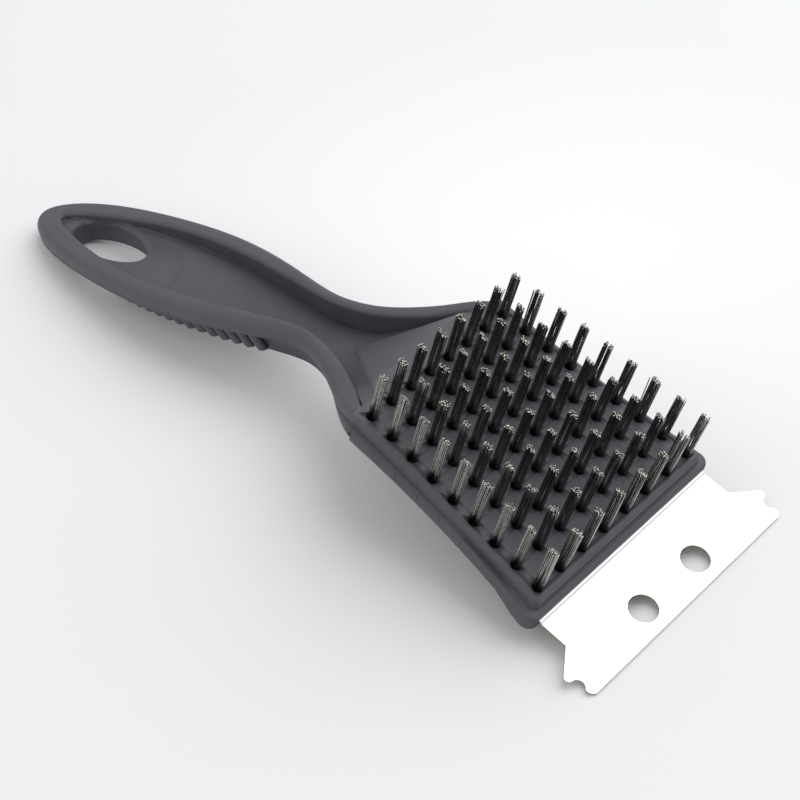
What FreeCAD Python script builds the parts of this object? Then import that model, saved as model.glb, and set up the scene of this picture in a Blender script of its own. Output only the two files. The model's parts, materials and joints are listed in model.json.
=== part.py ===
# Grill cleaning brush: one moulded body with a looped handle, nine rows of steel
# wire tufts held by flat anchor wires, and a flat steel scraper screwed in from the back.
#
# Everything is laid out in the head's own axes first: X along the brush towards the
# scraper, Y across it, Z up out of the bristle face, with the origin at the middle of
# the tuft grid on that face.  One resting placement then tips the whole brush bristles
# up on its two contact edges, with Z = 0 as the table.

import FreeCAD, Part
import math
import os
import PartDesign
import Sketcher

V = FreeCAD.Vector

# Two places closer than this are taken as the same
NEAR = 0.01

# --------------------------------------------------------------------------------------
# Driving dimensions: alias -> (value in mm, degrees, a share or a count, what it is)
# --------------------------------------------------------------------------------------
DRIVING = {
    "tuft_rows": (9, "rows of tufts along the head"),
    "tufts_per_row": (8, "tufts across the head"),
    "row_pitch": (8.0, "distance between rows"),
    "across_pitch": (8.23, "tuft spacing across the middle row"),
    "across_spread": (0.0206, "growth of that spacing per mm towards the scraper"),
    "tuft_height": (18.4, "wire length above the bristle face"),
    "leg_radius": (0.67, "radius of one leg of a folded tuft"),
    "socket_depth": (7.4, "depth of a tuft hole"),
    "tuft_clearance": (0.1, "gap between a tuft and the wall of its hole"),
    "anchor_thickness": (0.34, "thickness of the flat anchor wire"),
    "anchor_height": (1.6, "height of the flat anchor wire"),
    "anchor_clearance": (0.03, "gap between an anchor and what is beside it"),
    "face_front_margin": (3.4, "bristle face: from the first row to its front edge"),
    "face_rear_margin": (4.2, "bristle face: from the last row to the bend"),
    "face_side_rear": (4.405, "bristle face: beside the outer tufts at the rear"),
    "face_side_middle": (2.995, "bristle face: beside the outer tufts at the middle"),
    "face_side_front": (3.643, "bristle face: beside the outer tufts at the front"),
    "face_corner": (1.8, "bristle face: front corner radius"),
    "face_edge": (1.2, "rounding of the bristle face's edge"),
    "ledge_drop": (4.0, "drop from the bristle face to the ledge round it"),
    "ledge_edge": (1.4, "rounding of the ledge's outer edge"),
    "ledge_front": (2.2, "width of the ledge at the front"),
    "ledge_side_rear": (2.6, "width of the ledge at the rear"),
    "ledge_side_middle": (2.3, "width of the ledge at the middle"),
    "ledge_side_front": (3.6, "width of the ledge's sides at the front"),
    "ledge_run_in": (1.5, "how far the ledge's edge ends up inside the handle's side"),
    "ledge_rear_chamfer": (3.3, "chamfer of the ledge's rear corners, where the handle takes over"),
    "head_corner": (3.2, "head: front corner radius"),
    "head_depth": (10.0, "depth of the head below the bristle face"),
    "skirt_top": (6.4, "depth at which the side walls step in"),
    "skirt_inset": (3.0, "how far the side walls step in"),
    "skirt_run_start": (23.5, "where the side walls start to run out, behind the front wall"),
    "skirt_run_end": (7.0, "where the side walls are flush, behind the front wall"),
    "skirt_edge": (1.2, "rounding of the side walls' lower edge"),
    "skirt_flush_gap": (0.2, "what is left of the step where the side walls are flush"),
    "handle_slope": (29.0, "angle of the handle below the bristle face"),
    "neck_station": (45.9, "narrowest place, along the handle from the bend"),
    "neck_half": (11.1, "half width of the neck"),
    "neck_run": (12.0, "straight run of the neck's curve towards the grip"),
    "grip_from_tip": (74.0, "widest place of the grip, from the tip"),
    "grip_half": (19.5, "half width of the grip"),
    "grip_run": (30.0, "straight run of the grip's curve towards the neck"),
    "bend_flare": (0.84, "share of the bend's width where the flare starts"),
    "bend_flare_reach": (0.30, "share of the neck's distance where the flare starts"),
    "bend_neck_reach": (0.60, "share of the neck's distance where the flare ends"),
    "grip_fullness": (0.38, "fullness of the grip's outline behind its widest place"),
    "tip_fullness": (0.66, "fullness of the tip's outline"),
    "tip_station": (182.0, "tip of the handle, from the bend"),
    "rim_height": (5.6, "height of the rounded rim round the handle"),
    "rim_sink": (0.4, "how far the rim lies below the plane through the bend"),
    "rim_dip": (1.5, "dip of the rim between the bend and the neck"),
    "rim_dip_middle": (0.45, "where the dip is deepest, as a share of the neck's distance"),
    "rim_dip_end": (7.0, "where the dip ends, beyond the neck"),
    "rim_tip_droop": (1.2, "how far the rim droops at the tip"),
    "rim_droop_length": (38.0, "length of that droop"),
    "rim_outer_round": (2.6, "rounding of the rim's outer edge"),
    "rim_inner_round": (1.4, "rounding of the rim's inner edge"),
    "rim_bend_width": (6.6, "width of the rim at the bend"),
    "rim_neck_width": (4.4, "width of the rim at the neck"),
    "rim_grip_width": (6.3, "width of the rim at the grip"),
    "rim_tip_width": (11.0, "width of the rim at the tip"),
    "hollow_shift": (3.0, "widest place of the hollow, beyond the grip's"),
    "hollow_bend_run": (11.0, "straight run of the hollow's curve from the bend"),
    "hollow_flare": (0.73, "share of the hollow's width where its flare ends"),
    "hollow_neck_run": (18.9, "straight run of the hollow's curve into the neck"),
    "hollow_tip_run": (24.0, "straight run of the hollow's curve behind its widest place"),
    "hollow_tip_taper": (13.7, "length of the hollow's narrow end"),
    "hollow_tip_side": (0.5, "share of the hollow's width where its narrow end starts"),
    "hollow_tip_round": (0.2, "share of the hollow's width that rounds its narrow end"),
    "tray_neck_depth": (8.8, "depth of the hollow at the neck"),
    "tray_grip_depth": (5.9, "depth of the hollow in the grip"),
    "tray_tip_depth": (2.6, "depth of the hollow at the tip"),
    "hull_neck_inset": (1.9, "how far the lower grip sits in from the rim at the neck"),
    "hull_inset": (2.8, "how far it sits in at the grip, under the rim"),
    "hull_draft": (2.4, "how much further in its lower edge is at the grip"),
    "hull_tip_inset": (9.0, "how far the lower grip stops short of the tip"),
    "hull_rim_overlap": (0.6, "how far the lower grip reaches up into the rim"),
    "hull_bend_rise": (2.2, "how much shallower the lower grip is at the bend"),
    "hull_neck_depth": (11.6, "depth of the lower grip at the neck"),
    "hull_tip_depth": (10.2, "depth of the lower grip at the tip"),
    "hull_level_start": (0.6, "where it is first at full depth, as a share of the neck's distance"),
    "hull_level_end": (1.4, "where it starts to get shallower, as a share of that distance"),
    "prow_length": (19.7, "length of the ramp from the face down into the hollow"),
    "prow_drop": (23.0, "drop of that ramp"),
    "prow_half": (18.1, "half width of the ramp at the top"),
    "prow_setback": (3.6, "where the ramp starts, behind the bend"),
    "prow_root": (3.0, "how far the ramp's solid reaches into the head"),
    "prow_web_share": (0.9, "depth of the ramp's tip as a share of the plastic below the hollow"),
    "valley_setback": (1.4, "where the valley beside the ramp starts, behind the bend"),
    "valley_top_step": (0.8, "height of the ramp above the valley at the bend"),
    "valley_step": (3.2, "height of the ramp above the valley half way down"),
    "valley_foot_step": (1.0, "height of the ramp above the valley at its foot"),
    "hang_from_tip": (35.1, "middle of the hang hole, from the tip"),
    "hang_half_length": (17.6, "half length of the hang hole"),
    "hang_half_width": (7.1, "half width of the hang hole"),
    "dish_from_tip": (55.1, "middle of the thumb dish, from the tip"),
    "dish_side": (9.5, "how far the dish sits to one side"),
    "dish_radius": (20.6, "radius of the dish at the hollow's floor"),
    "dish_depth": (1.3, "depth of the dish"),
    "dish_edge_slope": (20.0, "slope of the dish's edge"),
    "dish_edge_round": (12.0, "curve between that slope and the dish's level middle"),
    "pad_proud": (0.8, "how far the ribbed pad stands out of the lower grip"),
    "pad_start": (17.0, "ribbed pad: start, beyond the neck"),
    "pad_end": (18.4, "ribbed pad: end, beyond the widest place"),
    "pad_slant": (3.0, "slant of the pad's ends"),
    "pad_foot": (0.6, "pad's lower edge above the lower grip's underside"),
    "rib_start_margin": (3.0, "first rib from the pad's start"),
    "rib_end_margin": (2.5, "last rib from the pad's end"),
    "rib_count": (13, "grip ribs on each side"),
    "rib_radius": (1.6, "radius of a grip rib"),
    "rib_proud": (1.0, "how far a rib stands out of the pad"),
    "rib_foot": (0.9, "a rib's lower end above the lower grip's underside"),
    "rib_head": (0.6, "a rib's upper end above the rim's lower edge"),
    "rib_lean": (28.0, "lean of the ribs"),
    "blade_thickness": (0.8, "scraper sheet thickness"),
    "slot_cover": (1.9, "plastic between the ledge and the scraper's slot"),
    "blade_step_gap": (0.5, "from the front wall to the sheet's step"),
    "blade_step_length": (0.5, "length of the step"),
    "blade_step_drop": (0.55, "drop of the step"),
    "blade_step_shift": (0.34, "shift of the step's underside that keeps the sheet even"),
    "blade_rise": (1.01, "rise of the blade from the step to its working edge"),
    "blade_reach": (23.4, "working edge of the blade, from the front wall"),
    "blade_side_margin": (3.8, "side of the blade's root, inside the head's side"),
    "blade_wing": (7.7, "how far a wing stands out beside the root"),
    "blade_wing_start": (9.3, "where the blade's wings start, from the front wall"),
    "blade_wing_slant": (5.4, "length of a wing's slanted side"),
    "horn_round": (0.5, "rounding of a wing's outer corner"),
    "horn_length": (1.0, "half length of the wing's outer side"),
    "notch_start": (2.2, "where the side notch starts, from the wing's corner"),
    "notch_lip": (0.9, "depth of the notch at its ends"),
    "notch_depth": (3.0, "depth of the notch in the wing's side"),
    "lobe_length": (2.6, "length of the lobe beside the working edge"),
    "lobe_side": (2.0, "side of the lobe, inside the wing's side"),
    "lobe_round": (0.7, "rounding of the lobe along the blade"),
    "lobe_middle": (2.3, "side of the lobe at its middle"),
    "lobe_end": (4.2, "side of the lobe at the working edge"),
    "blade_hole_reach": (16.1, "the two round holes: from the front wall"),
    "blade_hole_spacing": (22.4, "the two round holes: spacing"),
    "blade_hole_radius": (4.25, "the two round holes: radius"),
    "blade_grip": (3.3, "depth of the strip held in the slot"),
    "tab_reach": (6.0, "rear end of a tab, behind its screw"),
    "tab_wall": (0.1, "plastic between a tab's slot and the tuft holes"),
    "slot_clearance": (0.1, "gap round the sheet in its slot"),
    "screw_radius": (1.3, "screw shank radius"),
    "screw_point_length": (1.2, "length of a screw's point"),
    "screw_point_radius": (0.4, "radius of a screw's point"),
    "screw_head_radius": (2.7, "screw head radius"),
    "screw_head_height": (1.7, "screw head height"),
    "screw_head_round": (0.6, "rounding of a screw head"),
    "screw_cross_length": (3.0, "length of the cross recess"),
    "screw_cross_width": (0.7, "width of the cross recess"),
    "screw_cross_depth": (0.8, "depth of the cross recess"),
    "screw_tip_cover": (1.6, "plastic left above a screw's tip"),
    "screw_tip_gap": (0.1, "gap above a screw's tip"),
    "screw_clearance": (0.2, "gap round a screw below the sheet"),
    "pilot_clearance": (0.03, "gap round a screw's thread"),
    "screw_floor": (0.5, "plastic between the sheet and a screw's head"),
    "counterbore_clearance": (0.3, "gap round a screw head"),
}

# Sizes that follow from the driving ones: alias -> (formula, what it is)
DERIVED = {
    "half_field": ("(tuft_rows - 1) / 2 * row_pitch", "from the middle to the outermost row"),
    "face_front": ("half_field + face_front_margin", "bristle face: front edge"),
    "face_rear": ("half_field + face_rear_margin", "bristle face: rear end, the bend"),
    "side_tufts": ("(tufts_per_row - 1) / 2", "spacings from the middle to the outer tuft"),
    "face_half_rear": ("side_tufts * (across_pitch - across_spread * face_rear) + face_side_rear",
                       "bristle face: half width at the rear"),
    "face_half_middle": ("side_tufts * across_pitch + face_side_middle",
                         "bristle face: half width at the middle"),
    "face_half_front": ("side_tufts * (across_pitch + across_spread * face_front) + face_side_front",
                        "bristle face: half width at the front"),
    "head_front": ("face_front + ledge_front", "front wall of the head"),
    "head_half_rear": ("face_half_rear + ledge_side_rear", "head: half width at the rear"),
    "head_half_middle": ("face_half_middle + ledge_side_middle", "head: half width at the middle"),
    "head_half_front": ("face_half_front + ledge_side_front", "head: half width at the front"),
    "grip_station": ("tip_station - grip_from_tip", "widest place of the grip, from the bend"),
    "hang_station": ("tip_station - hang_from_tip", "middle of the hang hole, from the bend"),
    "dish_station": ("tip_station - dish_from_tip", "middle of the thumb dish, from the bend"),
    "leg_offset": ("leg_radius + anchor_thickness / 2 + anchor_clearance",
                   "half the spacing of a tuft's two legs, with the anchor between them"),
    "socket_radius": ("leg_offset + leg_radius + tuft_clearance", "radius of a tuft hole"),
    "bend_depth": ("socket_depth - leg_offset - leg_radius", "depth of a tuft's fold"),
    "blade_slot_level": ("ledge_drop + slot_cover", "depth of the sheet's upper side in the head"),
    "blade_step_start": ("head_front + blade_step_gap", "where the sheet starts to step down"),
    "blade_step_end": ("blade_step_start + blade_step_length", "where the step ends"),
    "blade_root_level": ("blade_slot_level + blade_step_drop", "depth of the blade after the step"),
    "blade_tip_level": ("blade_root_level - blade_rise", "depth of the blade at its working edge"),
    "blade_edge": ("head_front + blade_reach", "working edge of the blade"),
    "blade_root_half": ("head_half_front - blade_side_margin", "half width of the blade at its root"),
    "blade_wing_corner": ("head_front + blade_wing_start", "where the blade's wings start, from the middle"),
    "blade_wing_half": ("blade_root_half + blade_wing", "half width over the wings"),
    "blade_hole_station": ("head_front + blade_hole_reach", "the two round holes, from the middle"),
    "blade_grip_back": ("head_front - blade_grip", "rear edge of the strip held in the slot"),
    "screw_station": ("half_field - row_pitch / 2", "screws: between the two front rows"),
    "screw_pitch": ("across_pitch + across_spread * screw_station", "tuft spacing beside the screws"),
    "tab_back": ("screw_station - tab_reach", "rear end of the tabs"),
    "tab_spacing": ("2 * screw_pitch", "spacing of the tabs, each between two tufts"),
    "tab_half": ("(across_pitch + across_spread * tab_back) / 2 - socket_radius - slot_clearance - tab_wall",
                 "half width of a tab"),
    "screw_seat": ("blade_slot_level + blade_thickness + screw_floor",
                   "depth of the seat under a screw head"),
}


def make_sheet(doc):
    """The spreadsheet: one row for each driving dimension, then those that follow."""
    sheet = doc.addObject("Spreadsheet::Sheet", "Dimensions")
    rows = [(alias, str(value), note) for alias, (value, note) in DRIVING.items()]
    rows += [(alias, "=" + formula, note) for alias, (formula, note) in DERIVED.items()]
    for row, (alias, content, note) in enumerate(rows, 1):
        sheet.set(f"A{row}", note)
        sheet.set(f"B{row}", content)
        sheet.setAlias(f"B{row}", alias)
    doc.recompute()
    return sheet


class Sizes:
    """Reads a driving dimension from the sheet by its alias, as a plain number."""

    def __init__(self, sheet):
        self.sheet = sheet

    def __getattr__(self, alias):
        return float(getattr(self.sheet, alias))


# --------------------------------------------------------------------------------------
# Shared geometry
# --------------------------------------------------------------------------------------

def handle_axes(size):
    """Placement of the handle: its X runs to the tip, its Z out of the handle plane."""
    slope = math.radians(size.handle_slope)
    along = V(-math.cos(slope), 0, -math.sin(slope))
    out = V(-math.sin(slope), 0, math.cos(slope))
    across = out.cross(along)
    matrix = FreeCAD.Matrix(along.x, across.x, out.x, -size.face_rear,
                            along.y, across.y, out.y, 0,
                            along.z, across.z, out.z, 0,
                            0, 0, 0, 1)
    return FreeCAD.Placement(matrix)


def grip_bottom(size, station):
    """Depth of the lower grip's underside at a place along the handle."""
    start = size.neck_station * size.hull_level_end
    reach = (station - start) / (size.tip_station - start)
    return size.hull_neck_depth + reach * (size.hull_tip_depth - size.hull_neck_depth)


def resting_placement(size):
    """The whole brush on a table: blade edge and lower grip both touch Z = 0."""
    edge = V(size.blade_edge, 0, -size.blade_tip_level)
    edge_low = edge - V(0, 0, size.blade_thickness)
    heel_station = size.tip_station - size.hull_tip_inset
    heel = handle_axes(size).multVec(V(heel_station, 0, -grip_bottom(size, heel_station)))
    pitch = math.degrees(math.atan2(edge_low.z - heel.z, edge_low.x - heel.x))
    turn = FreeCAD.Rotation(V(0, 1, 0), pitch)
    rounding = size.rim_outer_round
    middle = V(size.tip_station - rounding, 0, -size.rim_sink - size.rim_tip_droop - rounding)
    tip = turn.multVec(handle_axes(size).multVec(middle)) - V(rounding, 0, 0)
    shift = V(-(tip.x + turn.multVec(edge).x) / 2, 0, -turn.multVec(edge_low).z)
    return FreeCAD.Placement(shift, turn)


def mirrored_wire(edges):
    """A closed wire from the edges of its left half, which start and end on Y = 0."""
    other_half = [edge.mirror(V(0, 0, 0), V(0, 1, 0)) for edge in edges]
    return Part.Wire(Part.__sortEdges__(edges + other_half))


def bezier(*points):
    """One Bezier edge through plan points given as (x, y)."""
    curve = Part.BezierCurve()
    curve.setPoles([V(x, y, 0) for x, y in points])
    return curve.toShape()


def line(start, end):
    """A straight edge between two plan points."""
    return Part.makeLine(V(start[0], start[1], 0), V(end[0], end[1], 0))


def arc(start, middle, end):
    """An arc through three plan points."""
    return Part.Arc(V(*start, 0), V(*middle, 0), V(*end, 0)).toShape()


def prism(wire, bottom, top):
    """A closed plan outline between two levels."""
    face = Part.Face(wire)
    face.translate(V(0, 0, bottom))
    return face.extrude(V(0, 0, top - bottom))


def side_slab(points, half_width):
    """A side profile given as (x, z), as a slab across the full width."""
    corners = [V(x, -half_width, z) for x, z in points]
    face = Part.Face(Part.makePolygon(corners + corners[:1]))
    return face.extrude(V(0, 2 * half_width, 0))


def widest(size):
    """A half width that clears the whole brush."""
    return 2 * size.blade_wing_half


def far_away(size):
    """A length that clears the whole brush."""
    return 2 * size.tip_station


def half_width_at(outline, station):
    """Half width of a plan outline at a place along it."""
    probe = line((station, 0), (station, 1000))
    return outline.distToShape(probe)[1][0][0].y


# --------------------------------------------------------------------------------------
# Moulded body
# --------------------------------------------------------------------------------------

def squared_outline(rear, front, side_edge):
    """Plan outline with straight ends between the ends of a side edge."""
    start = side_edge.Vertexes[0].Point
    end = side_edge.Vertexes[-1].Point
    return mirrored_wire([line((-rear, 0), (-rear, start.y)), side_edge, line((front, end.y), (front, 0))])


def rounded_slab(wire, bottom, top, corner, edge_round):
    """A slab with rounded upright front corners and a rounded upper edge."""
    slab = prism(wire, bottom, top)
    front = slab.BoundBox.XMax
    uprights = [edge for edge in slab.Edges
                if edge.BoundBox.ZLength > (top - bottom) / 2 and edge.BoundBox.XMin > front - NEAR]
    slab = slab.makeFillet(corner, uprights)
    rear = slab.BoundBox.XMin
    upper = [edge for edge in slab.Edges
             if edge.BoundBox.ZMin > top - NEAR and edge.BoundBox.XMax > rear + NEAR]
    return slab.makeFillet(edge_round, upper)


def head_side(size):
    """Side of the head in plan, slightly curved."""
    return arc((-size.face_rear, size.head_half_rear), (0, size.head_half_middle),
               (size.head_front, size.head_half_front))


def face_solid(size):
    """The raised bristle face."""
    side = arc((-size.face_rear, size.face_half_rear), (0, size.face_half_middle),
               (size.face_front, size.face_half_front))
    return rounded_slab(squared_outline(size.face_rear, size.face_front, side),
                        -size.skirt_top, 0, size.face_corner, size.face_edge)


def ledge_solid(size):
    """The ledge round the bristle face."""
    slab = rounded_slab(squared_outline(size.face_rear, size.head_front, head_side(size)),
                        -size.skirt_top, -size.ledge_drop, size.head_corner, size.ledge_edge)
    rear = (-size.face_rear, size.head_half_rear - size.ledge_rear_chamfer)
    reach = 2 * size.ledge_rear_chamfer
    corner = [V(rear[0] - reach, rear[1] - reach, 0), V(rear[0] + reach, rear[1] + reach, 0),
              V(rear[0] - reach, rear[1] + reach, 0)]
    cutter = Part.Face(Part.makePolygon(corner + corner[:1])).extrude(V(0, 0, -2 * size.skirt_top))
    return slab.cut([cutter, cutter.mirror(V(0, 0, 0), V(0, 1, 0))])


def skirt_solid(size):
    """The head's lower part, stepped in along the sides and flush at the front."""
    rear = (-size.face_rear, size.head_half_rear - size.skirt_inset)
    start_x = size.head_front - size.skirt_run_start
    start = (start_x, half_width_at(head_side(size), start_x) - size.skirt_inset)
    end_x = size.head_front - size.skirt_run_end
    end = (end_x, half_width_at(head_side(size), end_x) - size.skirt_flush_gap)
    corner = (size.head_front, size.head_half_front - size.skirt_flush_gap)
    outline = mirrored_wire([line((rear[0], 0), rear),
                             line(rear, start),
                             line(start, end),
                             line(end, corner),
                             line(corner, (corner[0], 0))])
    slab = prism(outline, -size.head_depth, -size.ledge_drop - size.ledge_edge)
    uprights = [edge for edge in slab.Edges
                if edge.BoundBox.ZLength > NEAR and edge.BoundBox.XMin > size.head_front - NEAR]
    slab = slab.makeFillet(size.head_corner, uprights)
    lower = [edge for edge in slab.Edges
             if edge.BoundBox.ZMax < NEAR - size.head_depth and edge.BoundBox.XMax > NEAR - size.face_rear]
    return slab.makeFillet(size.skirt_edge, lower)


def handle_outline(size, bend_half, neck_inset=0.0, grip_inset=0.0, tip_inset=0.0):
    """Outline of the handle in its own plane, from the bend round the tip."""
    neck = (size.neck_station, size.neck_half - neck_inset)
    grip = (size.grip_station, size.grip_half - grip_inset)
    tip = (size.tip_station - tip_inset, 0)
    return mirrored_wire([line((0, 0), (0, bend_half)),
                          bend_curve(size, bend_half, neck),
                          grip_curve(size, neck, grip),
                          bezier(grip, (grip[0] + size.grip_fullness * (tip[0] - grip[0]), grip[1]),
                                 (tip[0], size.tip_fullness * grip[1]), tip)])


def bend_curve(size, bend_half, neck):
    """The flare of the handle's side from its neck out to the bend."""
    flare = (size.neck_station * size.bend_flare_reach, size.head_half_rear * size.bend_flare)
    return bezier((0, bend_half), flare, (size.neck_station * size.bend_neck_reach, neck[1]), neck)


def grip_curve(size, neck, grip):
    """The side's swelling from the neck to the widest place of the grip."""
    return bezier(neck, (neck[0] + size.neck_run, neck[1]), (grip[0] - size.grip_run, grip[1]), grip)


def tray_outline(size):
    """Outline of the hollow inside the rim, in the handle plane."""
    bend_half = size.head_half_rear - size.rim_bend_width
    neck = (size.neck_station, size.neck_half - size.rim_neck_width)
    grip = (size.grip_station + size.hollow_shift, size.grip_half - size.rim_grip_width)
    tip = (size.tip_station - size.rim_tip_width, 0)
    return mirrored_wire([line((-1, 0), (-1, bend_half)),
                          bezier((-1, bend_half), (size.hollow_bend_run, bend_half * size.hollow_flare),
                                 (neck[0] - size.hollow_neck_run, neck[1]), neck),
                          grip_curve(size, neck, grip),
                          bezier(grip, (grip[0] + size.hollow_tip_run, grip[1]),
                                 (tip[0] - size.hollow_tip_taper, grip[1] * size.hollow_tip_side),
                                 (tip[0], grip[1] * size.hollow_tip_round), tip)])


def in_handle_plane(size, x, z):
    """A place in the head's side view, as (along, out) in the handle's."""
    local = handle_axes(size).inverse().multVec(V(x, 0, z))
    return (local.x, local.z)


def tray_cutter(size):
    """The hollow: everything inside its outline and above its floor and the valley."""
    above = 3 * size.rim_height
    ramp_x = -size.face_rear - size.prow_setback
    valley = [in_handle_plane(size, ramp_x - size.prow_length, -size.prow_drop - size.valley_foot_step),
              in_handle_plane(size, ramp_x - size.prow_length / 2, -size.prow_drop / 2 - size.valley_step),
              in_handle_plane(size, -size.face_rear - size.valley_setback, -size.valley_top_step)]
    floor = [(size.tip_station, -size.tray_tip_depth),
             (size.grip_station, -size.tray_grip_depth),
             (size.neck_station, -size.tray_neck_depth)]
    sides = floor + valley + [(-1, above), (size.tip_station, above)]
    return prism(tray_outline(size), -size.hull_neck_depth, above).common(side_slab(sides, widest(size)))


def prow(size):
    """The ramp like a boat's prow that runs from the bristle face into the hollow."""
    top_x = -size.face_rear - size.prow_setback
    tip_x = top_x - size.prow_length
    root_x = -size.face_rear + size.prow_root
    root_half = size.prow_half * (root_x - tip_x) / size.prow_length
    plan = mirrored_wire([line((root_x, 0), (root_x, root_half)), line((root_x, root_half), (tip_x, 0))])
    web = (size.hull_neck_depth - size.tray_neck_depth) * size.prow_web_share
    rise = [(root_x, 0), (top_x, 0), (tip_x, -size.prow_drop), (tip_x, -size.prow_drop - web),
            (root_x, -size.head_depth)]
    return prism(plan, -2 * size.prow_drop, 1).common(side_slab(rise, widest(size)))


def rim_dip(size):
    """What is taken off the rim's top: a dip between bend and neck, and the droop at the tip."""
    top = -size.rim_sink
    low = top - size.rim_dip
    middle = size.neck_station * size.rim_dip_middle
    end = size.neck_station + size.rim_dip_end
    down = bezier((0, top), (middle / 2, top), (middle / 2, low), (middle, low))
    up = bezier((middle, low), ((middle + end) / 2, low), ((middle + end) / 2, top), (end, top))
    tip = size.tip_station
    start = tip - size.rim_droop_length
    droop = bezier((start, top), ((start + tip) / 2, top), (tip, top - size.rim_tip_droop))
    return [above_profile(size, [down, up], (0, top), (end, top)),
            above_profile(size, [droop], (start, top), (tip, top - size.rim_tip_droop))]


def above_profile(size, curve, start, end):
    """Everything above a side profile of the handle, from one place along it to another."""
    sides = [line(end, (end[0], 1)), line((end[0], 1), (start[0], 1)), line((start[0], 1), start)]
    slab = Part.Face(Part.Wire(curve + sides)).extrude(V(0, 0, 2 * widest(size)))
    slab.rotate(V(0, 0, 0), V(1, 0, 0), 90)
    slab.translate(V(0, widest(size), 0))
    return slab


def rim_ring(size):
    """The rim round the hollow, open at the bend, with both its upper edges rounded."""
    tip = size.tip_station
    sides = [(0, -size.rim_height), (tip - size.rim_droop_length, -size.rim_height),
             (tip, -size.rim_height - size.rim_tip_droop), (tip, 0), (0, 0)]
    ring = prism(handle_outline(size, size.face_half_rear), -2 * size.rim_height, -size.rim_sink)
    ring = ring.common(side_slab(sides, widest(size)))
    ring = ring.cut([prism(tray_outline(size), -3 * size.rim_height, 0)] + rim_dip(size))
    inner = tray_outline(size)
    lowest = -size.rim_sink - max(size.rim_dip, size.rim_tip_droop) - NEAR
    edges = [edge for edge in ring.Edges if edge.BoundBox.ZMin > lowest and edge.BoundBox.XLength > 1]
    inner_edges = [edge for edge in edges if on_outline(edge, inner)]
    outer_edges = [edge for edge in edges if not on_outline(edge, inner)]
    return ring.makeFillet(size.rim_outer_round, outer_edges).makeFillet(size.rim_inner_round, inner_edges)


def on_outline(edge, outline):
    """Whether an edge runs above or below a plan outline."""
    middle = edge.valueAt((edge.FirstParameter + edge.LastParameter) / 2)
    return outline.distToShape(Part.Vertex(middle.x, middle.y, 0))[0] < NEAR


def handle_ledge(size):
    """The head's ledge where it runs on beside the handle and sinks into its side."""
    slope = math.cos(math.radians(size.handle_slope))
    neck = (size.neck_station, size.neck_half - size.ledge_run_in)
    plan = mirrored_wire([line((0, 0), (0, size.head_half_rear)),
                          bend_curve(size, size.head_half_rear, neck),
                          line(neck, (neck[0], 0))])
    slab = prism(plan, -size.rim_height, -size.ledge_drop * slope)
    upper = [edge for edge in slab.Edges
             if edge.BoundBox.ZMin > -size.ledge_drop * slope - NEAR and edge.BoundBox.XLength > 1]
    return slab.makeFillet(size.ledge_edge, upper)


def drafted_grip(size, proud=0.0):
    """The lower grip's side walls, which lean in towards its underside at the grip."""
    low = -size.hull_neck_depth
    bend_half = size.head_half_rear - size.hull_neck_inset
    neck_inset = size.hull_neck_inset - proud
    inset = size.hull_inset - proud
    upper = handle_outline(size, bend_half, neck_inset, inset, size.hull_tip_inset)
    lower = handle_outline(size, bend_half, neck_inset, inset + size.hull_draft, size.hull_tip_inset)
    upper.translate(V(0, 0, -size.rim_sink))
    lower.translate(V(0, 0, low))
    return Part.makeLoft([upper, lower], True, True)


def lower_grip(size):
    """The narrower lower half of the handle, shallower towards the tip."""
    deep = size.hull_neck_depth
    level_start = size.neck_station * size.hull_level_start
    level_end = size.neck_station * size.hull_level_end
    in_rim = -size.rim_height + size.hull_rim_overlap
    sides = [(0, -deep + size.hull_bend_rise), (level_start, -deep), (level_end, -deep),
             (size.tip_station, -size.hull_tip_depth), (size.tip_station, in_rim), (0, in_rim)]
    return drafted_grip(size).common(side_slab(sides, widest(size)))


def rib_pad(size):
    """The raised panel that carries the ribs, with slanted ends."""
    start = size.neck_station + size.pad_start
    end = size.grip_station + size.pad_end
    slant = size.pad_slant
    top = -size.rim_height + size.hull_rim_overlap
    foot = size.pad_foot
    sides = [(start - slant, foot - grip_bottom(size, start)), (end - slant, foot - grip_bottom(size, end)),
             (end + slant, top), (start + slant, top)]
    return drafted_grip(size, size.pad_proud).common(side_slab(sides, widest(size)))


def grip_ribs(size):
    """Slanted ribs on both lower side walls of the grip."""
    first = size.neck_station + size.pad_start + size.rib_start_margin
    last = size.grip_station + size.pad_end - size.rib_end_margin
    step = (last - first) / (size.rib_count - 1)
    low = -size.hull_neck_depth
    lean = math.tan(math.radians(size.rib_lean)) * low
    head = -size.rim_height + size.rib_head
    span = side_slab([(0, size.rib_foot - size.hull_neck_depth),
                      (size.neck_station * size.hull_level_end, size.rib_foot - size.hull_neck_depth),
                      (size.tip_station, size.rib_foot - size.hull_tip_depth),
                      (size.tip_station, head), (0, head)], widest(size))
    inset = size.hull_inset - size.pad_proud
    neck_inset = size.hull_neck_inset - size.pad_proud
    upper = handle_outline(size, size.head_half_rear, neck_inset, inset)
    lower = handle_outline(size, size.head_half_rear, neck_inset, inset + size.hull_draft)
    reach = size.rib_proud - size.rib_radius
    ribs = []
    for index in range(int(size.rib_count)):
        station = first + index * step
        for side in (-1, 1):
            top = V(station, side * (half_width_at(upper, station) + reach), 0)
            foot = V(station + lean, side * (half_width_at(lower, station) + reach), low)
            axis = foot - top
            ribs.append(Part.makeCylinder(size.rib_radius, axis.Length, top, axis).common(span))
    return ribs


def hang_hole(size):
    """Oval hole right through the grip near its tip."""
    oval = Part.Ellipse(V(size.hang_station, 0, 0), size.hang_half_length, size.hang_half_width)
    return prism(Part.Wire(oval.toShape()), -2 * size.hull_neck_depth, size.rim_height)


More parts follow.
